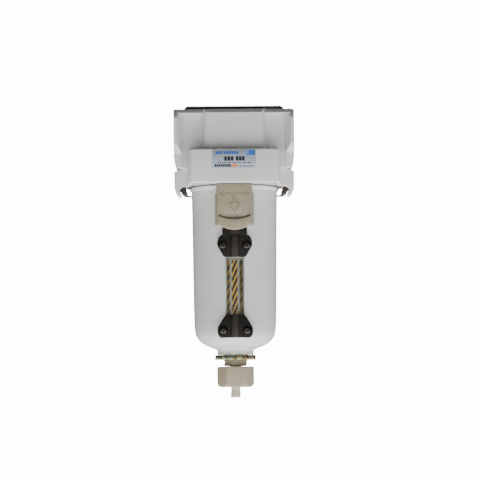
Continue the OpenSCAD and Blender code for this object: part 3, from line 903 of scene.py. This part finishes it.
class FILTER_OT_drain(bpy.types.Operator):
    """Makes the drain neck, its lock nut, the hex knob and the nozzle"""
    bl_idname = "filter.drain"
    bl_label = "Drain"

    def execute(self, context):
        pitch = context.scene.filter_sizes.thread_pitch
        ridges = []
        for i in range(11):
            middle = 18.95 + i * pitch
            ridges += [(6.3, middle - 0.54), (6.96, middle - 0.28), (7.03, middle - 0.2),
                       (7.03, middle + 0.2), (6.96, middle + 0.28), (6.3, middle + 0.54)]
        housing = lathe("drain_neck", [(4.7, 18.45), (6.0, 18.45)] + ridges + [
            (6.3, 32.05), (9.4, 32.05), (9.4, 33.2), (13, 33.2), (13, 64), (11.5, 64), (11.5, 35),
            (4.7, 35)], 96)
        for i in range(3):
            slot = soften(block("cage_slot", (-16, -2.2, 40), (16, 2.2, 58)), 1.0, 3)
            cut(housing, copy_turned(slot, "cage_slot_turned", 60 * i + 30))
            bpy.data.objects.remove(slot)
        show(housing, "bowl", "drain_plastic", ("drain_housing",))

        nut = prism("drain_ring_nut", [
            (r * math.cos(math.radians(a)), r * math.sin(math.radians(a)))
            for a in range(0, 360, 2)
            for r in (12.0 - 1.3 * max(0.0, math.cos(math.radians(12 * a + 36))) ** 2,)], "Z", 22.0, 24.9)
        soften(nut, 0.4, 3, 50, clamp=False)
        cut(nut, bar_z("nut_bore", 7.15, 20, 26))
        show(nut, "bowl", "zinc_film", ("drain_lock_nut",), smooth=30)

        knob = prism("drain_hex_knob", arc(0, 0, 9.5 / math.cos(math.radians(30)), 2, 302, 5), "Z", 6.1, 18.1)
        common(knob, lathe("knob_limit", [
            (0, 6.1), (8.9, 6.1), (9.8, 6.6), (10.5, 7.5), (10.85, 8.6), (10.85, 17.4), (10.6, 17.8),
            (9.9, 18.1), (0, 18.1)], 120))
        soften(knob, 0.4, 3, 30)
        cut(knob, bar_z("knob_bore", 2.92, 4, 19, steps=48))
        show(knob, "drain_knob", "drain_plastic", ("drain_knob",), smooth=30)

        nozzle = lathe("drain_nozzle_stem", [
            (1.5, 0.3), (1.8, 0), (2.6, 0), (2.85, 0.25), (2.9, 0.5), (2.9, 2.6), (2.7, 2.95), (2.7, 5.9),
            (2.85, 6.1), (2.85, 18.2), (4.3, 18.2), (4.6, 18.5), (4.6, 25.9), (2.8, 25.9), (2.8, 27.9),
            (4.6, 27.9), (4.6, 30), (3.6, 31), (1.6, 31), (1.6, 45.7), (1.3, 46), (0, 46), (0, 20.7),
            (1.5, 20.7)], 64)
        cut(nozzle, bar_x("drain_ways", 1.2, -6, 6, 19.8, 24))
        show(nozzle, "drain_stem", "nozzle_plastic", ("drain_stem",), smooth=30)
        return {"FINISHED"}


class FILTER_OT_inside(bpy.types.Operator):
    """Finishes the working pieces inside the bowl"""
    bl_idname = "filter.inside"
    bl_label = "Inside"

    def execute(self, context):
        for node, finish in {
            "deflector": "inner_plastic", "filter_element": "sintered", "gasket_top": "seal_rubber",
            "gasket_bottom": "seal_rubber", "element_baffle": "inner_plastic", "tie_rod": "rod_steel",
            "bowl_oring": "seal_rubber", "drain_gasket": "seal_rubber", "drain_cage_lid": "inner_plastic",
            "stem_oring": "seal_rubber", "drain_float": "float_foam"}.items():
            dress(node, finish)
        return {"FINISHED"}


# ---------------------------------------------------------------- stage

FLOOR_Z = -0.11
FLOOR_RADIUS = 0.8
BACKGROUND_WHITE = 14.0
STUDIO_LEVEL = 3.9
CAMERA_PLACE = (0, -1.1, 0.0244)
CAMERA_AIM = (0.00315, 0, 0.0924)
CAMERA_ROLL = -0.45
CAMERA_LENS = 140.4


def area_light(name, place, aim, size, power):
    deselect()
    bpy.ops.object.light_add(type="AREA", location=place)
    light = bpy.context.active_object
    light.name = name
    light.data.shape = "RECTANGLE"
    light.data.size, light.data.size_y = size
    light.data.energy = power
    light.rotation_euler = (Vector(aim) - Vector(place)).to_track_quat("-Z", "Y").to_euler()
    return light


class FILTER_OT_stage(bpy.types.Operator):
    """Sets out the floor, the soft light and the camera"""
    bl_idname = "filter.stage"
    bl_label = "Stage"

    def execute(self, context):
        deselect()
        bpy.ops.mesh.primitive_circle_add(vertices=96, radius=FLOOR_RADIUS, fill_type="NGON",
                                          location=(0, 0, FLOOR_Z))
        floor = context.active_object
        floor.name = "floor"
        settle(floor)
        finish, tree, shader = start_finish("floor_paper")
        paper = noise(tree, 30, 3.0)
        tree.links.new(tint(tree, paper.outputs["Fac"], [
            (0.3, (0.93, 0.93, 0.93)), (0.7, (0.95, 0.95, 0.95))]), shader.inputs["Base Color"])
        shader.inputs["Roughness"].default_value = 0.9
        shader.inputs["Specular IOR Level"].default_value = 0.0
        shader.inputs["Emission Color"].default_value = (1, 1, 1, 1)
        shader.inputs["Emission Strength"].default_value = BACKGROUND_WHITE
        # light from under the part passes through the floor
        seen = place_node(tree, "ShaderNodeLightPath").outputs["Is Camera Ray"]
        open_way = place_node(tree, "ShaderNodeBsdfTransparent")
        floor_mix = place_node(tree, "ShaderNodeMixShader", {
            0: seen, 1: open_way.outputs[0], 2: shader.outputs[0]})
        tree.links.new(floor_mix.outputs[0], tree.nodes["Material Output"].inputs["Surface"])
        floor.data.materials.append(finish)

        world = bpy.data.worlds.new("studio")
        context.scene.world = world
        world.use_nodes = True
        tree = world.node_tree
        tree.nodes.clear()
        where = place_node(tree, "ShaderNodeTexCoord").outputs["Generated"]
        axes = place_node(tree, "ShaderNodeSeparateXYZ", {"Vector": where})
        span = spread(tree, axes.outputs["Z"], 0.0, 1.0, -1.0, 1.0)
        # brightness of the surroundings from straight below to straight above
        glow = tint(tree, span, [(height, (level,) * 3) for height, level in (
            (0.0, 1.0), (0.15, 0.95), (0.35, 0.475), (0.475, 0.275), (0.52, 0.03), (0.625, 0.008),
            (1.0, 0.005))])
        front = spread(tree, axes.outputs["Y"], 1.3, 0.25, -1.0, 1.0)
        side = spread(tree, axes.outputs["X"], 0.68, 1.14, -1.0, 1.0)
        warmth = tint(tree, spread(tree, axes.outputs["X"], 0.0, 1.0, -1.0, 1.0), [
            (0.1, (1.0, 0.985, 0.95)), (0.6, (0.99, 1.0, 1.0))])
        level = place_node(tree, "ShaderNodeMath", {0: front, 1: side}, operation="MULTIPLY")
        level = place_node(tree, "ShaderNodeMath", {0: level.outputs[0], 1: STUDIO_LEVEL},
                           operation="MULTIPLY")
        colour = place_node(tree, "ShaderNodeVectorMath", {0: glow, 1: warmth}, operation="MULTIPLY")
        studio = place_node(tree, "ShaderNodeBackground", {
            "Color": colour.outputs[0], "Strength": level.outputs[0]})
        plain = place_node(tree, "ShaderNodeBackground", {
            "Color": (1, 1, 1, 1), "Strength": BACKGROUND_WHITE})
        seen = place_node(tree, "ShaderNodeLightPath").outputs["Is Camera Ray"]
        mix = place_node(tree, "ShaderNodeMixShader", {0: seen, 1: studio.outputs[0], 2: plain.outputs[0]})
        output = place_node(tree, "ShaderNodeOutputWorld")
        tree.links.new(mix.outputs[0], output.inputs["Surface"])

        area_light("front_window", (0.25, -1.1, 0.12), (0, 0, 0.09), (0.9, 0.7), 0.2)
        area_light("low_bounce", (-0.1, -0.7, -0.4), (0, 0, 0.1), (1.0, 0.5), 0.6)
        area_light("back_window", (0, 1.3, 0.1), (0, 0, 0.08), (0.4, 0.5), 6.0)

        deselect()
        bpy.ops.object.camera_add(location=CAMERA_PLACE)
        camera = context.active_object
        camera.name = "camera"
        aim = Vector(CAMERA_AIM) - Vector(CAMERA_PLACE)
        camera.rotation_euler = aim.to_track_quat("-Z", "Y").to_euler()
        camera.rotation_euler.rotate_axis("Z", math.radians(CAMERA_ROLL))
        camera.data.lens = CAMERA_LENS
        camera.data.sensor_width = 36
        camera.data.clip_start = 0.05
        context.scene.camera = camera
        return {"FINISHED"}


class FILTER_PT_panel(bpy.types.Panel):
    """Lists the steps that build the filter"""
    bl_idname = "FILTER_PT_panel"
    bl_label = "Compressed air filter"
    bl_space_type = "VIEW_3D"
    bl_region_type = "UI"
    bl_category = "Air Filter"

    def draw(self, context):
        for group in (context.scene.filter_sizes, context.scene.filter_colours):
            for name in group.__annotations__:
                self.layout.prop(group, name)
        for step in STEPS:
            self.layout.operator(step.bl_idname)


STEPS = (FILTER_OT_head, FILTER_OT_cap, FILTER_OT_label, FILTER_OT_pads, FILTER_OT_bowl, FILTER_OT_gauge,
         FILTER_OT_clamps, FILTER_OT_screws, FILTER_OT_button, FILTER_OT_drain, FILTER_OT_inside,
         FILTER_OT_stage)
CLASSES = (FilterSizes, FilterColours, *STEPS, FILTER_PT_panel)


def register():
    for kind in CLASSES:
        bpy.utils.register_class(kind)
    bpy.types.Scene.filter_sizes = bpy.props.PointerProperty(type=FilterSizes)
    bpy.types.Scene.filter_colours = bpy.props.PointerProperty(type=FilterColours)


def unregister():
    del bpy.types.Scene.filter_colours
    del bpy.types.Scene.filter_sizes
    for kind in reversed(CLASSES):
        bpy.utils.unregister_class(kind)


def main():
    register()
    make_finishes(bpy.context.scene.filter_colours)
    for step in STEPS:
        group, name = step.bl_idname.split(".")
        getattr(getattr(bpy.ops, group), name)()


if __name__ == "__main__":
    main()
